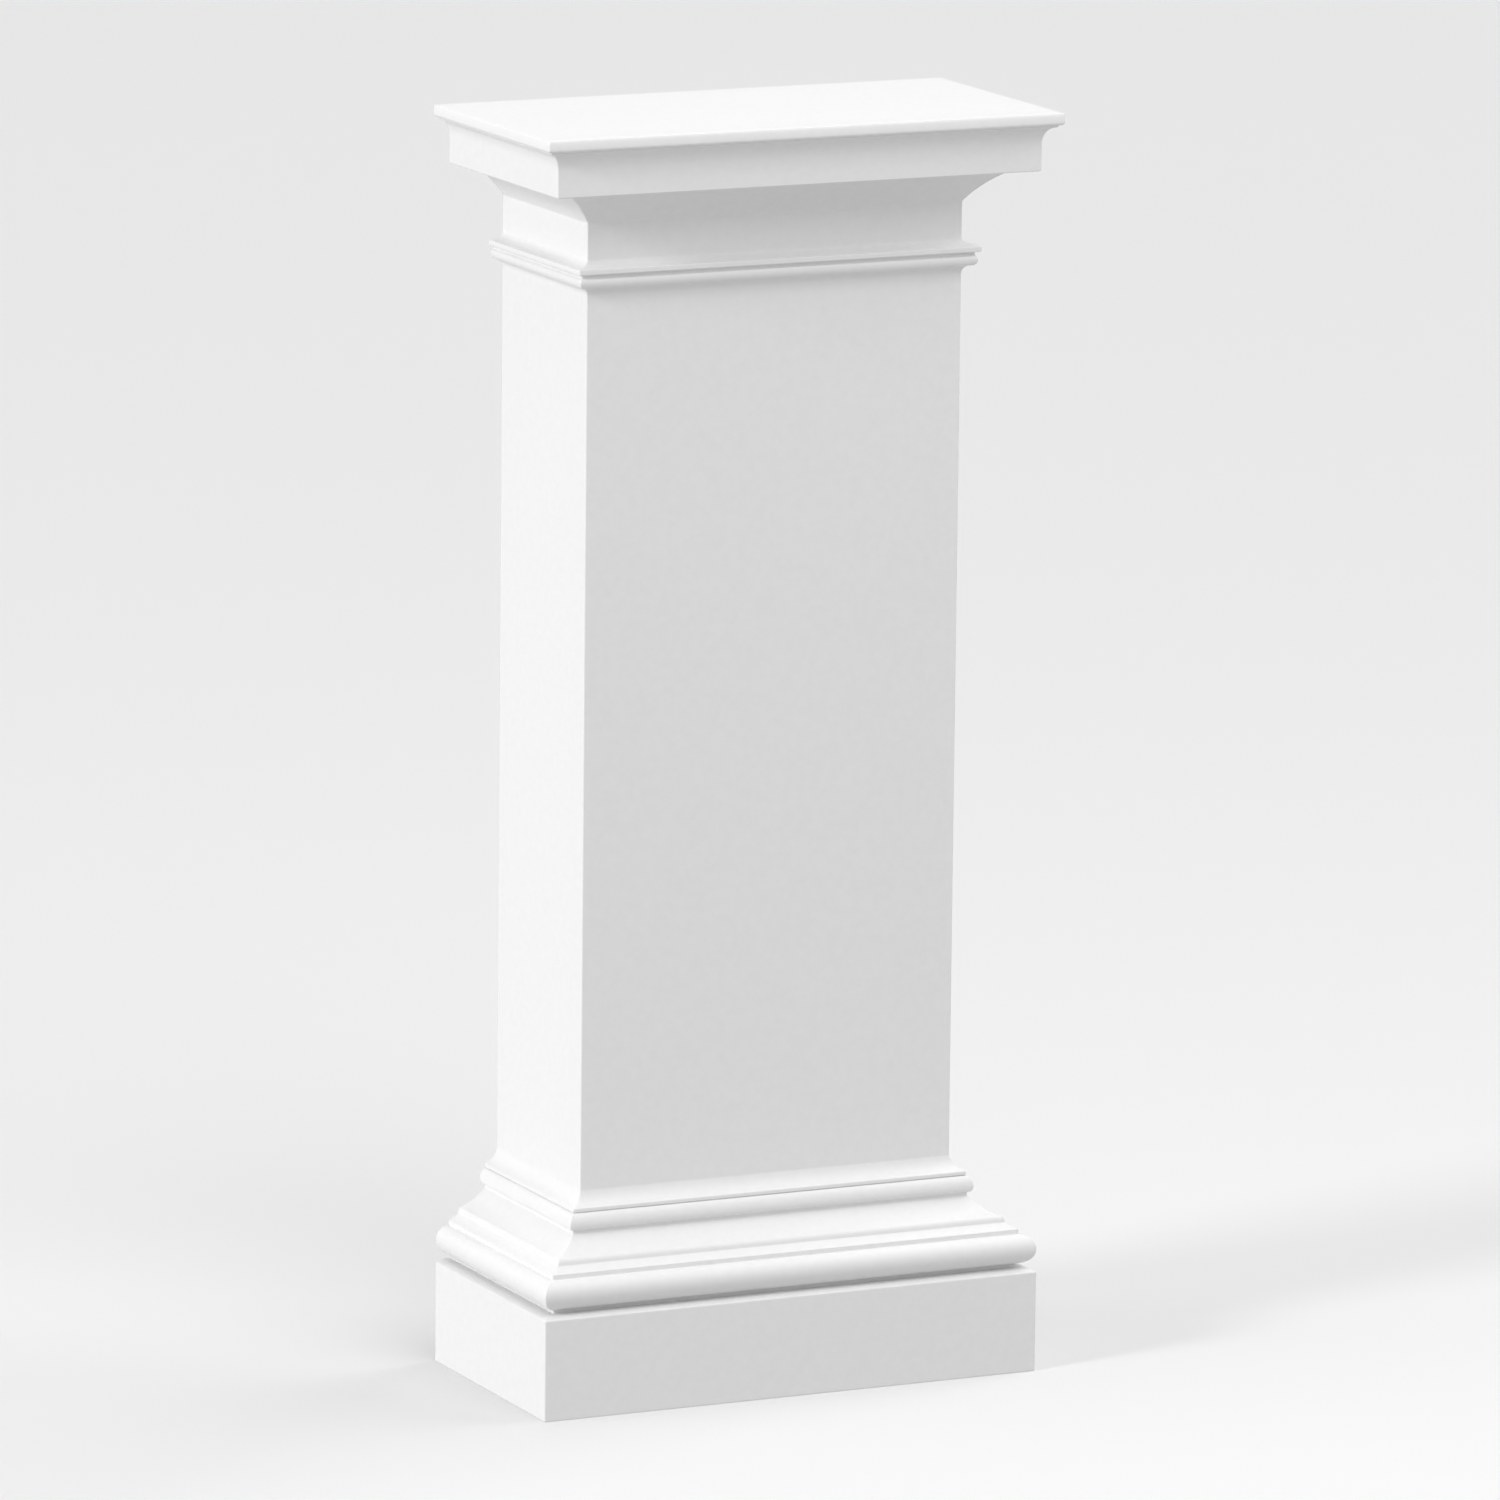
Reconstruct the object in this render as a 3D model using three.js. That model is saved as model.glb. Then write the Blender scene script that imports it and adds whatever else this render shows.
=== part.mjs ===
// A half-pillar pedestal: one half of a square pedestal with classical mouldings, cut flat down its back.
// It is moulded in one piece, so its plinth, shaft and cap are one solid.
// Millimetres, +Z up, front towards -Y. The origin is on the floor, under the middle of the overall box.

import * as THREE from 'three';

// Driving dimensions. A projection is measured out from the faces of the plain shaft.
const overallHeight = 900;
const shaftWidth = 287;
const shaftDepth = 143.5;

// The base, from the floor up.
const plinthProjection = 47;
const plinthHeight = 72;
const plinthBevelProjection = 41;
const plinthBevelHeight = 2.1;
const plinthQuirkProjection = 35.8;
const plinthQuirkHeight = 3.2;
const torusProjection = 47;
const torusHeight = 21.1;
const torusFilletProjection = 37.3;
const torusFilletHeight = 3.8;
const coveFootProjection = 36.6;
const coveTopProjection = 30;
const coveHeight = 4;
const coveHollow = 0.3;
const sweepNoseHeight = 4.6;
const sweepFootProjection = 27.4;
const sweepHeight = 12.2;
const sweepHollow = 1.4;
const beadQuirkProjection = 9.8;
const beadQuirkHeight = 2.5;
const beadProjection = 13.2;
const beadHeight = 12.2;
const footQuirkProjection = 7.6;
const footFilletProjection = 9.2;
const footFilletHeight = 2.9;
const footFlareHeight = 11;
const footFlareHollow = 2;

// The neck band under the frieze, from the shaft up.
const neckHollowProjection = 5.6;
const neckHollowHeight = 6.2;
const neckRoundProjection = 8.8;
const neckRoundHeight = 7.2;
const neckQuirkProjection = 7;
const neckQuirkHeight = 2.8;
const neckFilletProjection = 10.5;
const neckFilletHeight = 3.8;
const neckFlareHeight = 5.5;

// The frieze and the cap, from the neck band up.
const friezeHeight = 25.5;
const capCavettoProjection = 23;
const capCavettoHeight = 22.3;
const capCavettoHollow = 1.5;
const soffitRise = 2.3;
const fasciaProjection = 41;
const fasciaHeight = 19.4;
const topHollowProjection = 49.5;
const topHollowHeight = 12;
const nosingStepHeight = 1.6;
const nosingFootProjection = 50.6;
const nosingProjection = 53;
const nosingTopProjection = 51.8;
const nosingFootHeight = 2.2;
const nosingTopHeight = 6.2;

// How many straight pieces stand for a curve.
const stepsPerQuarter = 8;
const stepsPerRoll = 14;
const stepsPerHollow = 8;

const paintWhite = 0xf3f3f1;
const paintRoughness = 0.6;

const baseHeight = plinthHeight + plinthBevelHeight + plinthQuirkHeight + torusHeight + torusFilletHeight
  + coveHeight + sweepNoseHeight + sweepHeight + beadQuirkHeight + beadHeight + footFilletHeight
  + footFlareHeight;
const neckHeight = neckHollowHeight + neckRoundHeight + neckQuirkHeight + neckFilletHeight + neckFlareHeight;
const capHeight = capCavettoHeight + soffitRise + fasciaHeight + topHollowHeight + nosingStepHeight
  + nosingFootHeight + nosingTopHeight;
const shaftHeight = overallHeight - baseHeight - neckHeight - friezeHeight - capHeight;

// A moulding profile drawn upwards. Its points hold a projection and a height above the floor.
class MouldingProfile {
  constructor(projection) {
    this.points = [new THREE.Vector2(projection, 0)];
  }

  get end() {
    return this.points.at(-1);
  }

  // A straight run to a projection, a given rise higher.
  lineTo(projection, rise = 0) {
    this.points.push(new THREE.Vector2(projection, this.end.y + rise));
  }

  // A quarter of an ellipse. It starts upright and ends level, or the other way round.
  quarterTo(projection, rise, startsUpright) {
    const start = this.end.clone();
    const finish = new THREE.Vector2(projection, start.y + rise);
    const centre = startsUpright
      ? new THREE.Vector2(finish.x, start.y)
      : new THREE.Vector2(start.x, finish.y);
    this.turnAbout(centre, start, finish, Math.PI / 2, stepsPerQuarter);
  }

  // Half an ellipse that swells out to a crown half way up, for a torus, a bead or a round.
  rollTo(projection, rise, crownProjection) {
    const start = this.end.clone();
    const finish = new THREE.Vector2(projection, start.y + rise);
    const centre = start.clone().lerp(finish, 0.5);
    const crown = new THREE.Vector2(crownProjection, centre.y);
    this.turnAbout(centre, start, crown, Math.PI, stepsPerRoll);
  }

  // A shallow hollow, whose middle lies a given depth behind the straight line between its ends.
  hollowTo(projection, rise, depth) {
    const start = this.end.clone();
    const finish = new THREE.Vector2(projection, start.y + rise);
    const inward = new THREE.Vector2(start.y - finish.y, finish.x - start.x).normalize();
    const control = start.clone().lerp(finish, 0.5).addScaledVector(inward, 2 * depth);
    const curve = new THREE.QuadraticBezierCurve(start, control, finish);
    this.points.push(...curve.getPoints(stepsPerHollow).slice(1));
  }

  // Points of an ellipse that runs from start and passes through crown a quarter turn later.
  turnAbout(centre, start, crown, angle, steps) {
    const first = start.clone().sub(centre);
    const second = crown.clone().sub(centre);
    for (let i = 1; i <= steps; i++) {
      const turn = angle * i / steps;
      this.points.push(centre.clone()
        .addScaledVector(first, Math.cos(turn))
        .addScaledVector(second, Math.sin(turn)));
    }
  }
}

function drawBase(profile) {
  profile.lineTo(plinthProjection, plinthHeight);
  profile.lineTo(plinthBevelProjection, plinthBevelHeight);
  profile.lineTo(plinthQuirkProjection);
  profile.lineTo(plinthQuirkProjection, plinthQuirkHeight);
  profile.rollTo(torusFilletProjection, torusHeight, torusProjection);
  profile.lineTo(torusFilletProjection, torusFilletHeight);
  profile.lineTo(coveFootProjection);
  profile.hollowTo(coveTopProjection, coveHeight, coveHollow);
  profile.quarterTo(sweepFootProjection, sweepNoseHeight, true);
  profile.hollowTo(beadQuirkProjection, sweepHeight, sweepHollow);
  profile.lineTo(beadQuirkProjection, beadQuirkHeight);
  profile.rollTo(footQuirkProjection, beadHeight, beadProjection);
  profile.lineTo(footFilletProjection);
  profile.lineTo(footFilletProjection, footFilletHeight);
  profile.hollowTo(0, footFlareHeight, footFlareHollow);
}

function drawShaft(profile) {
  profile.lineTo(0, shaftHeight);
}

function drawNeckBand(profile) {
  profile.quarterTo(neckHollowProjection, neckHollowHeight, true);
  profile.rollTo(neckQuirkProjection, neckRoundHeight, neckRoundProjection);
  profile.lineTo(neckQuirkProjection, neckQuirkHeight);
  profile.lineTo(neckFilletProjection);
  profile.lineTo(neckFilletProjection, neckFilletHeight);
  profile.quarterTo(0, neckFlareHeight, false);
}

function drawCap(profile) {
  profile.lineTo(0, friezeHeight);
  profile.hollowTo(capCavettoProjection, capCavettoHeight, capCavettoHollow);
  profile.lineTo(fasciaProjection, soffitRise);
  profile.lineTo(fasciaProjection, fasciaHeight);
  profile.quarterTo(topHollowProjection, topHollowHeight, true);
  profile.lineTo(topHollowProjection, nosingStepHeight);
  profile.lineTo(nosingFootProjection);
  profile.quarterTo(nosingProjection, nosingFootHeight, false);
  profile.quarterTo(nosingTopProjection, nosingTopHeight, true);
}

// The profile runs round the left side, the front and the right side, and is mitred at both front corners.
// The four corners at one level are in order: back left, front left, front right and back right.
function cornersAt(point, backPlane) {
  const side = shaftWidth / 2 + point.x;
  const front = backPlane - shaftDepth - point.x;
  return [
    [-side, backPlane, point.y],
    [-side, front, point.y],
    [side, front, point.y],
    [side, backPlane, point.y],
  ].flat();
}

// A closed body: the underside, four strips between each two levels, and the top.
function halfPillarGeometry(profile) {
  const greatestProjection = Math.max(...profile.points.map((point) => point.x));
  const backPlane = (shaftDepth + greatestProjection) / 2;
  const positions = profile.points.flatMap((point) => cornersAt(point, backPlane));
  const faces = [0, 2, 1, 0, 3, 2];
  for (let level = 1; level < profile.points.length; level++) {
    for (let corner = 0; corner < 4; corner++) {
      const next = (corner + 1) % 4;
      const below = 4 * (level - 1);
      const above = 4 * level;
      faces.push(below + corner, below + next, above + next);
      faces.push(below + corner, above + next, above + corner);
    }
  }
  const top = 4 * (profile.points.length - 1);
  faces.push(top, top + 1, top + 2, top, top + 2, top + 3);
  const geometry = new THREE.BufferGeometry();
  geometry.setAttribute('position', new THREE.Float32BufferAttribute(positions, 3));
  geometry.setIndex(faces);
  geometry.computeVertexNormals();
  return geometry;
}

const profile = new MouldingProfile(plinthProjection);
drawBase(profile);
drawShaft(profile);
drawNeckBand(profile);
drawCap(profile);

const paint = new THREE.MeshStandardMaterial({
  color: paintWhite,
  roughness: paintRoughness,
  metalness: 0,
  flatShading: true,
});
const pedestal = new THREE.Mesh(halfPillarGeometry(profile), paint);
pedestal.name = 'half_pillar_pedestal';

const part = new THREE.Group();
part.name = 'half_pillar';
part.add(pedestal);

export default part;
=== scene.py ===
"""A white half-pillar pedestal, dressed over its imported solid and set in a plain, pale studio.

Metres, +Z up, front towards -Y. The origin is on the floor, under the middle of the pedestal.
"""

import math
from itertools import pairwise

import bmesh
import bpy
from bpy.props import FloatProperty, FloatVectorProperty, IntProperty, PointerProperty
from mathutils import Matrix, Vector
from mathutils.geometry import interpolate_bezier


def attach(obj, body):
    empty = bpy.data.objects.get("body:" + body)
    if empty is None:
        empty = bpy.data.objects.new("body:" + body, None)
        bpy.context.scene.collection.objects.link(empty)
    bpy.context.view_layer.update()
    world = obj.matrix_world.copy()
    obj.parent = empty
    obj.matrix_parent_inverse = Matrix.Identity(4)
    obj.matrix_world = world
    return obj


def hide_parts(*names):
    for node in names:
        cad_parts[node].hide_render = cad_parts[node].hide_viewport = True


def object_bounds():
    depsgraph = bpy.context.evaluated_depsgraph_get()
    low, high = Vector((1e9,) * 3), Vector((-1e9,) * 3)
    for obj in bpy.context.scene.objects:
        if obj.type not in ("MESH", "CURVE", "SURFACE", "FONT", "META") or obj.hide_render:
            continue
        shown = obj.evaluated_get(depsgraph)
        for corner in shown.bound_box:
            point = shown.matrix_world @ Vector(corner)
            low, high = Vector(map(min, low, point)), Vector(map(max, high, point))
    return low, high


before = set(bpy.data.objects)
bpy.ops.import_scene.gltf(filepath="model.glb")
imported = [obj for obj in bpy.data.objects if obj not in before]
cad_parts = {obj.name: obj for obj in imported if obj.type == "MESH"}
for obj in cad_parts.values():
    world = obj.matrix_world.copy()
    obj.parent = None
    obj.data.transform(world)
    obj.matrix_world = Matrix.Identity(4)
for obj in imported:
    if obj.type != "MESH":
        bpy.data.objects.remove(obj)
cad_low, cad_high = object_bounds()

bl_info = {
    "name": "Half-Pillar Pedestal",
    "version": (1, 0, 0),
    "blender": (4, 5, 0),
    "location": "3D View > Sidebar > Pedestal",
    "description": "Builds a moulded half-pillar pedestal and the studio that it stands in",
    "category": "Add Mesh",
}

SOLID = "half_pillar_pedestal"


class PedestalSettings(bpy.types.PropertyGroup):
    """How softly the foam fills the edges of its mould."""

    arris_rounding: FloatProperty(
        name="Arris Rounding",
        description="How far back from an outward edge of a moulding its rounding starts",
        default=0.0007, min=0.0, max=0.005, precision=4, unit="LENGTH", subtype="DISTANCE",
    )
    crease_rounding: FloatProperty(
        name="Crease Rounding",
        description="How far back from an inward corner of a moulding its rounding starts",
        default=0.0005, min=0.0, max=0.005, precision=4, unit="LENGTH", subtype="DISTANCE",
    )
    mitre_radius: FloatProperty(
        name="Mitre Radius",
        description="Radius of the two upright front corners",
        default=0.001, min=0.0001, max=0.005, precision=4, unit="LENGTH", subtype="DISTANCE",
    )
    curve_step: FloatProperty(
        name="Curve Step",
        description="Longest straight piece in the curve of a moulding",
        default=0.0007, min=0.0001, max=0.01, precision=4, unit="LENGTH", subtype="DISTANCE",
    )
    rounding_steps: IntProperty(
        name="Rounding Steps",
        description="Straight pieces in each rounded edge",
        default=4, min=1, max=12,
    )


class PaintSettings(bpy.types.PropertyGroup):
    """The matt white primer on the foam."""

    white: FloatVectorProperty(
        name="White",
        description="Colour of the primer where it lies thick",
        default=(0.885, 0.885, 0.885), min=0.0, max=1.0, subtype="COLOR",
    )
    thin_white: FloatVectorProperty(
        name="Thin White",
        description="Colour of the primer where it lies thin",
        default=(0.872, 0.872, 0.872), min=0.0, max=1.0, subtype="COLOR",
    )
    smoothest: FloatProperty(
        name="Smoothest",
        description="Roughness where the primer lies smoothest",
        default=0.5, min=0.0, max=1.0, subtype="FACTOR",
    )
    roughest: FloatProperty(
        name="Roughest",
        description="Roughness where the primer lies roughest",
        default=0.62, min=0.0, max=1.0, subtype="FACTOR",
    )
    grain_size: FloatProperty(
        name="Grain Size",
        description="Width of one grain of the sprayed primer",
        default=0.0011, min=0.0001, max=0.01, precision=4, unit="LENGTH", subtype="DISTANCE",
    )
    grain_height: FloatProperty(
        name="Grain Height",
        description="Height of the grain of the sprayed primer",
        default=0.00002, min=0.0, max=0.001, precision=5, unit="LENGTH", subtype="DISTANCE",
    )
    mottle_size: FloatProperty(
        name="Mottle Size",
        description="Width of one patch of thick or thin primer",
        default=0.006, min=0.0005, max=0.1, precision=4, unit="LENGTH", subtype="DISTANCE",
    )
    wave_size: FloatProperty(
        name="Wave Size",
        description="Width of the slow unevenness that the mould leaves",
        default=0.07, min=0.01, max=1.0, unit="LENGTH", subtype="DISTANCE",
    )
    wave_height: FloatProperty(
        name="Wave Height",
        description="Height of the slow unevenness that the mould leaves",
        default=0.00012, min=0.0, max=0.002, precision=5, unit="LENGTH", subtype="DISTANCE",
    )


class StudioSettings(bpy.types.PropertyGroup):
    """The floor, the lights and the camera."""

    floor_radius: FloatProperty(
        name="Floor Radius",
        description="How far the floor reaches from the pedestal",
        default=40.0, min=1.0, unit="LENGTH", subtype="DISTANCE",
    )
    floor_colour: FloatVectorProperty(
        name="Floor Colour",
        description="Colour of the studio floor",
        default=(0.85, 0.85, 0.85), min=0.0, max=1.0, subtype="COLOR",
    )
    air_colour: FloatVectorProperty(
        name="Air Colour",
        description="Colour of the soft light from all round",
        default=(1.0, 1.0, 1.0), min=0.0, max=1.0, subtype="COLOR",
    )
    air_strength: FloatProperty(
        name="Air Strength",
        description="Strength of the soft light from all round",
        default=0.69, min=0.0,
    )
    key_strength: FloatProperty(
        name="Key Strength",
        description="Strength of the light from the left that gives the cap its shadow in front",
        default=0.62, min=0.0,
    )
    key_bearing: FloatProperty(
        name="Key Bearing",
        description="How far round from the front the key light stands",
        default=math.radians(-78), subtype="ANGLE", unit="ROTATION",
    )
    key_rise: FloatProperty(
        name="Key Rise",
        description="How high the key light stands over the floor",
        default=math.radians(26), subtype="ANGLE", unit="ROTATION",
    )
    key_spread: FloatProperty(
        name="Key Spread",
        description="How wide the key light is, seen from the pedestal",
        default=math.radians(12), subtype="ANGLE", unit="ROTATION",
    )
    left_strength: FloatProperty(
        name="Left Strength",
        description="Strength of the wide, low light on the left side",
        default=0.67, min=0.0,
    )
    right_strength: FloatProperty(
        name="Right Strength",
        description="Strength of the wide light on the right side",
        default=0.74, min=0.0,
    )
    top_strength: FloatProperty(
        name="Top Strength",
        description="Strength of the wide light straight overhead",
        default=0.18, min=0.0,
    )
    lamp_power: FloatProperty(
        name="Lamp Power",
        description="Power of the round lamp high in front, which lights the head more than the foot",
        default=22.5, min=0.0, unit="POWER",
    )
    lamp_width: FloatProperty(
        name="Lamp Width",
        description="Width of the round lamp high in front",
        default=2.4, min=0.01, unit="LENGTH", subtype="DISTANCE",
    )
    lamp_place: FloatVectorProperty(
        name="Lamp Place",
        description="Where the round lamp high in front hangs",
        default=(0.2, -2.3, 3.1), subtype="TRANSLATION", unit="LENGTH",
    )
    wide_spread: FloatProperty(
        name="Wide Spread",
        description="How wide the left, right and top lights are, seen from the pedestal",
        default=math.radians(50), subtype="ANGLE", unit="ROTATION",
    )
    print_gamma: FloatProperty(
        name="Print Gamma",
        description="Under one, the picture is printed with more contrast in its light greys",
        default=0.65, min=0.1, max=2.0,
    )
    camera_place: FloatVectorProperty(
        name="Camera Place",
        description="Where the camera stands",
        default=(-3.40917, -7.27266, 2.01907), subtype="TRANSLATION", unit="LENGTH",
    )
    camera_bearing: FloatProperty(
        name="Camera Bearing",
        description="How far the camera has gone round the pedestal from straight in front of it",
        default=math.radians(-25.15), subtype="ANGLE", unit="ROTATION",
    )
    camera_fall: FloatProperty(
        name="Camera Fall",
        description="How far the camera looks down",
        default=math.radians(11.08), subtype="ANGLE", unit="ROTATION",
    )
    camera_roll: FloatProperty(
        name="Camera Roll",
        description="How far the camera leans to one side",
        default=math.radians(0.6), subtype="ANGLE", unit="ROTATION",
    )
    camera_lens: FloatProperty(
        name="Camera Lens",
        description="Focal length of the camera on a sensor 36 mm wide",
        default=279.65, min=1.0, subtype="DISTANCE_CAMERA", unit="CAMERA",
    )


# Where the three sun lights that have no settings of their own stand.
LEFT_BEARING = math.radians(-102)
LEFT_RISE = math.radians(4)
RIGHT_BEARING = math.radians(90)
RIGHT_RISE = math.radians(40)
TOP_BEARING = 0
TOP_RISE = math.pi / 2

FLOOR_SIDES = 64
FLOOR_ROUGHNESS = 0.9
FLOOR_SPECULAR = 0.1
CAMERA_REACH = 100


# The section of the mouldings.

# A turn above SHARP_TURN is a corner. A piece above LONG_RUN, in metres, is a straight run. LIP, in
# metres, is how far the level run over the head and under the foot reaches in. A rounding takes at
# most ROOM_SHARE of the way to the next corner, and its handles reach ROUND_PULL of the way to its own.
SHARP_TURN = math.radians(25)
LONG_RUN = 0.01
LIP = 0.012
ROOM_SHARE = 0.45
ROUND_PULL = 0.58
SAME_PLACE = 0.000001


def section_up_the_corner(node):
    """The section of the mouldings, read up the front right corner of the solid.

    Returns its points, each a half width and a height, and the sum of x and y that is the same
    all the way up the mitre.
    """
    shape = bmesh.new()
    shape.from_mesh(node.data)
    bmesh.ops.remove_doubles(shape, verts=shape.verts, dist=SAME_PLACE)
    corner = {vert for vert in shape.verts if vert.co.x > 0 and vert.co.y < 0}
    here = min(corner, key=lambda vert: vert.co.z)
    mitre = here.co.x + here.co.y
    points = []
    while here:
        points.append(Vector((here.co.x, here.co.z)))
        corner.discard(here)
        beyond = [edge.other_vert(here) for edge in here.link_edges]
        here = next((vert for vert in beyond if vert in corner), None)
    shape.free()
    return points, mitre


def with_lips(points):
    """The section with a short level run added under its foot and over its head."""
    foot = points[0] - Vector((LIP, 0))
    head = points[-1] - Vector((LIP, 0))
    return [foot, *points, head]


def is_sharp(before, here, after):
    return (here - before).angle(after - here) > SHARP_TURN


def tangent_through(before, here, after):
    """Direction of a smooth curve at the middle one of three points. A long straight run keeps its own."""
    arriving = here - before
    leaving = after - here
    if arriving.length > LONG_RUN:
        return arriving.normalized()
    if leaving.length > LONG_RUN:
        return leaving.normalized()
    return (arriving / arriving.length_squared + leaving / leaving.length_squared).normalized()


def smooth_stretch(points, step):
    """A curve through the points of one stretch between two sharp corners, without its last point."""
    chords = [(after - before).normalized() for before, after in pairwise(points)]
    tangents = [tangent_through(*points[i - 1:i + 2]) for i in range(1, len(points) - 1)]
    if tangents:
        first = 2 * tangents[0].dot(chords[0]) * chords[0] - tangents[0]
        last = 2 * tangents[-1].dot(chords[-1]) * chords[-1] - tangents[-1]
    else:
        first = last = chords[0]
    tangents = [first, *tangents, last]
    curve = []
    for i, (start, end) in enumerate(pairwise(points)):
        span = (end - start).length
        is_straight = len(points) == 2 or span > LONG_RUN
        pieces = 1 if is_straight else math.ceil(span / step)
        leave = start + tangents[i] * span / 3
        arrive = end - tangents[i + 1] * span / 3
        curve += interpolate_bezier(start, leave, arrive, end, pieces + 1)[:-1]
    return curve


def smooth_section(points, step):
    """The whole section with smooth curves, and the places of its sharp corners in the list."""
    ends = [0]
    ends += [i for i in range(1, len(points) - 1) if is_sharp(*points[i - 1:i + 2])]
    ends.append(len(points) - 1)
    curve = []
    corners = []
    for start, end in pairwise(ends):
        corners.append(len(curve))
        curve += smooth_stretch(points[start:end + 1], step)
    curve.append(points[-1])
    return curve, corners[1:]


def point_along(points, travelled, distance):
    """The point of a path that lies a given distance along it."""
    for i, (near, far) in enumerate(pairwise(travelled)):
        if near <= distance <= far:
            return points[i].lerp(points[i + 1], (distance - near) / (far - near))
    return points[-1].copy()


def softened(points, corners, settings):
    """The section with a short rounding in place of each sharp corner."""
    travelled = [0.0]
    for before, after in pairwise(points):
        travelled.append(travelled[-1] + (after - before).length)
    marks = [0.0, *(travelled[i] for i in corners), travelled[-1]]
    soft = []
    done = -1.0
    for place, corner in enumerate(corners, start=1):
        turn = (points[corner] - points[corner - 1]).angle_signed(points[corner + 1] - points[corner])
        reach = settings.arris_rounding if turn < 0 else settings.crease_rounding
        room = min(marks[place] - marks[place - 1], marks[place + 1] - marks[place])
        cut = min(reach, ROOM_SHARE * room)
        start = point_along(points, travelled, marks[place] - cut)
        end = point_along(points, travelled, marks[place] + cut)
        leave = start.lerp(points[corner], ROUND_PULL)
        arrive = end.lerp(points[corner], ROUND_PULL)
        soft += [p for p, at in zip(points, travelled) if done < at < marks[place] - cut]
        soft += interpolate_bezier(start, leave, arrive, end, settings.rounding_steps + 1)
        done = marks[place] + cut
    soft += [p for p, at in zip(points, travelled) if at > done]
    return soft


# The body that the section makes on its way round the left side, the front and the right side.

def plan_at(half_width, mitre, settings):
    """The outline seen from above, from the back edge of the left side to that of the right side."""
    radius = settings.mitre_radius
    outline = [Vector((-half_width, cad_high.y))]
    for side, quarter in ((-1, 2), (1, 3)):
        centre = Vector((side * (half_width - radius), mitre - half_width + radius))
        for i in range(settings.rounding_steps + 1):
            angle = (quarter + i / settings.rounding_steps) * math.pi / 2
            outline.append(centre + radius * Vector((math.cos(angle), math.sin(angle))))
    outline.append(Vector((half_width, cad_high.y)))
    return outline


def moulded_body(section, mitre, settings):
    """A closed mesh: the underside, the mouldings, the top and the flat back.

    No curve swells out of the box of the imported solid.
    """
    shape = bmesh.new()
    rings = []
    for half_width, height in section:
        outline = plan_at(min(half_width, cad_high.x), mitre, settings)
        rings.append([shape.verts.new((x, y, height)) for x, y in outline])
    for below, above in pairwise(rings):
        for i in range(len(below) - 1):
            shape.faces.new((below[i], below[i + 1], above[i + 1], above[i]))
    shape.faces.new(reversed(rings[0]))
    shape.faces.new(rings[-1])
    left_edge = [ring[0] for ring in rings]
    right_edge = [ring[-1] for ring in rings]
    sawn_back = shape.faces.new(left_edge + right_edge[::-1])
    for edge in sawn_back.edges:
        edge.smooth = False
    bmesh.ops.recalc_face_normals(shape, faces=shape.faces)
    mesh = bpy.data.meshes.new("moulded_pedestal")
    shape.to_mesh(mesh)
    shape.free()
    mesh.shade_smooth()
    return mesh


def add_to_scene(name, data):
    piece = bpy.data.objects.new(name, data)
    bpy.context.scene.collection.objects.link(piece)
    return piece


# The paint.

NOISE_DETAIL = 2
NOISE_LOW = 0.3
NOISE_HIGH = 0.7
PAINT_SPECULAR = 0.35


def add_noise(nodes, links, place, size):
    """A noise whose lumps are about the given size, in metres."""
    noise = nodes.new("ShaderNodeTexNoise")
    noise.inputs["Scale"].default_value = 1 / size
    noise.inputs["Detail"].default_value = NOISE_DETAIL
    links.new(place, noise.inputs["Vector"])
    return noise.outputs["Fac"]


def add_range(nodes, links, source, low, high):
    """Spreads the middle part of a noise over a range."""
    spread = nodes.new("ShaderNodeMapRange")
    spread.inputs["From Min"].default_value = NOISE_LOW
    spread.inputs["From Max"].default_value = NOISE_HIGH
    spread.inputs["To Min"].default_value = low
    spread.inputs["To Max"].default_value = high
    links.new(source, spread.inputs["Value"])
    return spread.outputs["Result"]


def add_bump(nodes, links, height, depth, under=None):
    """Raises the surface by a height times a depth in metres, on top of the bump under it."""
    bump = nodes.new("ShaderNodeBump")
    bump.inputs["Distance"].default_value = depth
    links.new(height, bump.inputs["Height"])
    if under:
        links.new(under, bump.inputs["Normal"])
    return bump.outputs["Normal"]


def painted_foam(settings):
    """Matt white primer, sprayed on smooth hard foam."""
    paint = bpy.data.materials.new("painted_foam")
    paint.use_nodes = True
    nodes = paint.node_tree.nodes
    links = paint.node_tree.links
    shader = nodes["Principled BSDF"]
    place = nodes.new("ShaderNodeTexCoord").outputs["Object"]

    waves = add_noise(nodes, links, place, settings.wave_size)
    mottle = add_noise(nodes, links, place, settings.mottle_size)
    grain = add_noise(nodes, links, place, settings.grain_size)

    colour = nodes.new("ShaderNodeMix")
    colour.data_type = "RGBA"
    colour.inputs["A"].default_value = (*settings.thin_white, 1)
    colour.inputs["B"].default_value = (*settings.white, 1)
    links.new(add_range(nodes, links, mottle, 0, 1), colour.inputs["Factor"])
    links.new(colour.outputs["Result"], shader.inputs["Base Color"])

    roughness = add_range(nodes, links, grain, settings.smoothest, settings.roughest)
    links.new(roughness, shader.inputs["Roughness"])

    uneven = add_bump(nodes, links, waves, settings.wave_height)
    grainy = add_bump(nodes, links, grain, settings.grain_height, uneven)
    links.new(grainy, shader.inputs["Normal"])
    shader.inputs["Specular IOR Level"].default_value = PAINT_SPECULAR
    return paint


# The operators.

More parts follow.
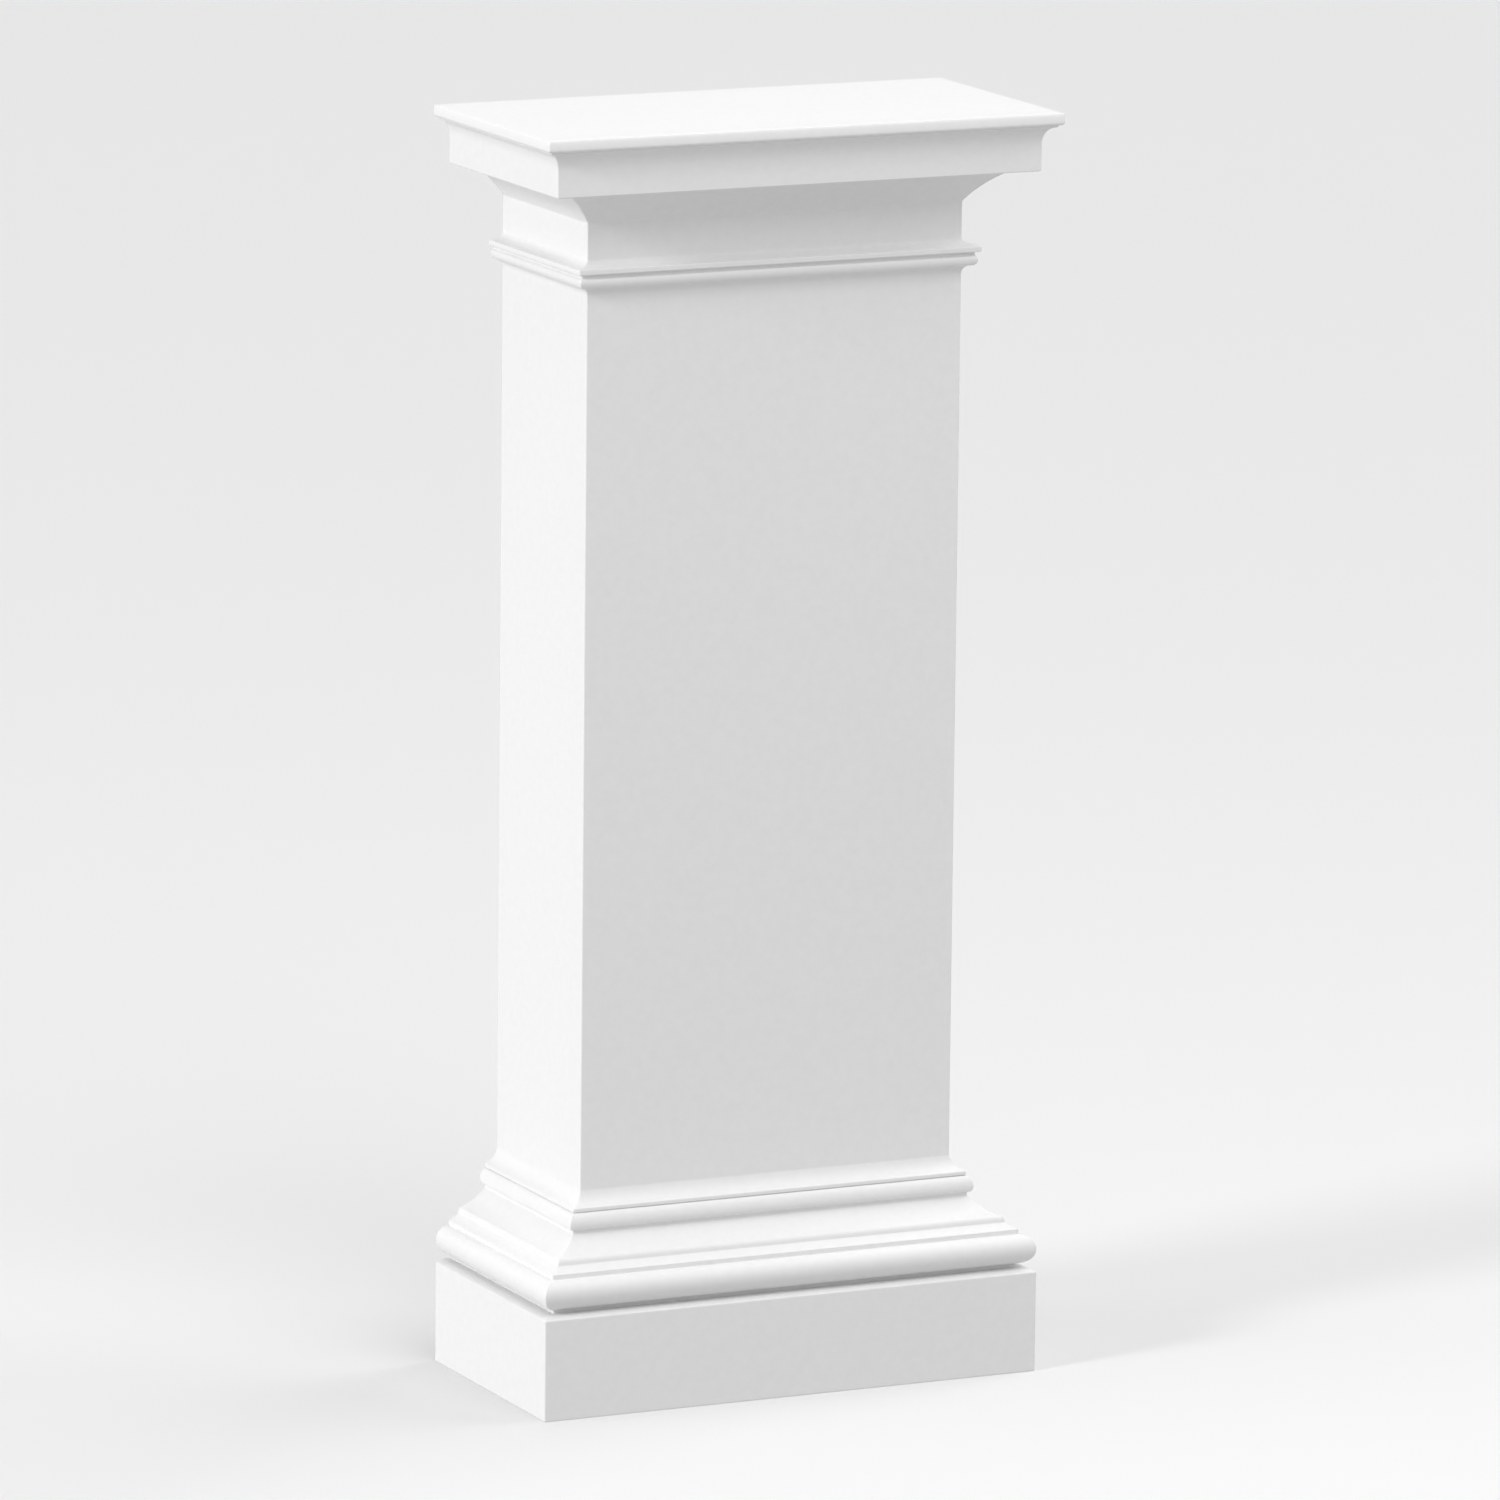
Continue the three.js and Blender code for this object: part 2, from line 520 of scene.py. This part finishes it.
class PEDESTAL_OT_add_body(bpy.types.Operator):
    """Add the moulded pedestal: plinth, base mouldings, shaft, neck band, frieze and cap in one piece"""

    bl_idname = "pedestal.add_body"
    bl_label = "Add Pedestal"
    bl_options = {"REGISTER", "UNDO"}

    def execute(self, context):
        settings = context.scene.pedestal_settings
        points, mitre = section_up_the_corner(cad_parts[SOLID])
        curve, corners = smooth_section(with_lips(points), settings.curve_step)
        section = softened(curve, corners, settings)
        body = add_to_scene("moulded_pedestal", moulded_body(section, mitre, settings))
        normals = body.modifiers.new("Even shading", "WEIGHTED_NORMAL")
        normals.mode = "FACE_AREA"
        normals.keep_sharp = True
        body.data.materials.append(painted_foam(context.scene.paint_settings))
        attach(body, "root")
        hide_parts(SOLID)
        return {"FINISHED"}


class PEDESTAL_OT_add_studio(bpy.types.Operator):
    """Add the pale floor, the soft lights and the camera"""

    bl_idname = "pedestal.add_studio"
    bl_label = "Add Studio"
    bl_options = {"REGISTER", "UNDO"}

    def execute(self, context):
        settings = context.scene.studio_settings
        self.add_floor(settings)
        self.add_air(context.scene, settings)
        self.add_sun("key_light", settings.key_bearing, settings.key_rise, settings.key_spread,
                     settings.key_strength)
        self.add_sun("left_light", LEFT_BEARING, LEFT_RISE, settings.wide_spread,
                     settings.left_strength)
        self.add_sun("right_light", RIGHT_BEARING, RIGHT_RISE, settings.wide_spread,
                     settings.right_strength)
        self.add_sun("top_light", TOP_BEARING, TOP_RISE, settings.wide_spread, settings.top_strength)
        self.add_lamp(settings)
        context.scene.camera = self.add_camera(settings)
        context.scene.view_settings.view_transform = "Standard"
        context.scene.view_settings.gamma = settings.print_gamma
        return {"FINISHED"}

    def add_floor(self, settings):
        """A wide disc. The air lights the pedestal from below as well, so the disc throws nothing back."""
        shape = bmesh.new()
        bmesh.ops.create_circle(shape, cap_ends=True, segments=FLOOR_SIDES, radius=settings.floor_radius)
        mesh = bpy.data.meshes.new("studio_floor")
        shape.to_mesh(mesh)
        shape.free()
        paper = bpy.data.materials.new("pale_floor")
        paper.use_nodes = True
        shader = paper.node_tree.nodes["Principled BSDF"]
        shader.inputs["Base Color"].default_value = (*settings.floor_colour, 1)
        shader.inputs["Roughness"].default_value = FLOOR_ROUGHNESS
        shader.inputs["Specular IOR Level"].default_value = FLOOR_SPECULAR
        mesh.materials.append(paper)
        floor = add_to_scene("studio_floor", mesh)
        floor.visible_diffuse = False
        floor.visible_shadow = False

    def add_air(self, scene, settings):
        scene.world = bpy.data.worlds.new("studio_air")
        scene.world.use_nodes = True
        background = scene.world.node_tree.nodes["Background"]
        background.inputs["Color"].default_value = (*settings.air_colour, 1)
        background.inputs["Strength"].default_value = settings.air_strength

    def add_sun(self, name, bearing, rise, spread, strength):
        """A far light, as strong at the foot of the pedestal as at its head."""
        light = bpy.data.lights.new(name, "SUN")
        light.angle = spread
        light.energy = strength
        stand = add_to_scene(name, light)
        stand.rotation_euler = (math.pi / 2 - rise, 0, bearing)

    def add_lamp(self, settings):
        """A near lamp, turned to the middle of the top of the pedestal."""
        light = bpy.data.lights.new("front_lamp", "AREA")
        light.shape = "DISK"
        light.size = settings.lamp_width
        light.energy = settings.lamp_power
        stand = add_to_scene("front_lamp", light)
        back = settings.lamp_place - Vector((0, 0, cad_high.z))
        stand.location = settings.lamp_place
        stand.rotation_euler = back.to_track_quat("Z", "Y").to_euler()

    def add_camera(self, settings):
        camera = bpy.data.cameras.new("studio_camera")
        camera.lens = settings.camera_lens
        camera.clip_end = CAMERA_REACH
        stand = add_to_scene("studio_camera", camera)
        bearing = Matrix.Rotation(settings.camera_bearing, 4, "Z")
        fall = Matrix.Rotation(math.pi / 2 - settings.camera_fall, 4, "X")
        roll = Matrix.Rotation(settings.camera_roll, 4, "Z")
        stand.matrix_world = Matrix.Translation(settings.camera_place) @ bearing @ fall @ roll
        return stand


class PEDESTAL_PT_sidebar(bpy.types.Panel):
    """The pedestal's own tab"""

    bl_idname = "PEDESTAL_PT_sidebar"
    bl_label = "Half-Pillar Pedestal"
    bl_space_type = "VIEW_3D"
    bl_region_type = "UI"
    bl_category = "Pedestal"

    def draw(self, context):
        self.list_group(context.scene.pedestal_settings, "Body", PEDESTAL_OT_add_body)
        self.list_group(context.scene.paint_settings, "Paint")
        self.list_group(context.scene.studio_settings, "Studio", PEDESTAL_OT_add_studio)

    def list_group(self, settings, title, operator=None):
        box = self.layout.box()
        box.label(text=title)
        for name in settings.__annotations__:
            box.prop(settings, name)
        if operator:
            box.operator(operator.bl_idname)


CLASSES = (
    PedestalSettings,
    PaintSettings,
    StudioSettings,
    PEDESTAL_OT_add_body,
    PEDESTAL_OT_add_studio,
    PEDESTAL_PT_sidebar,
)


def register():
    for cls in CLASSES:
        bpy.utils.register_class(cls)
    bpy.types.Scene.pedestal_settings = PointerProperty(type=PedestalSettings)
    bpy.types.Scene.paint_settings = PointerProperty(type=PaintSettings)
    bpy.types.Scene.studio_settings = PointerProperty(type=StudioSettings)


def unregister():
    del bpy.types.Scene.studio_settings
    del bpy.types.Scene.paint_settings
    del bpy.types.Scene.pedestal_settings
    for cls in reversed(CLASSES):
        bpy.utils.unregister_class(cls)


def main():
    register()
    bpy.ops.pedestal.add_body()
    bpy.ops.pedestal.add_studio()


if __name__ == "__main__":
    main()
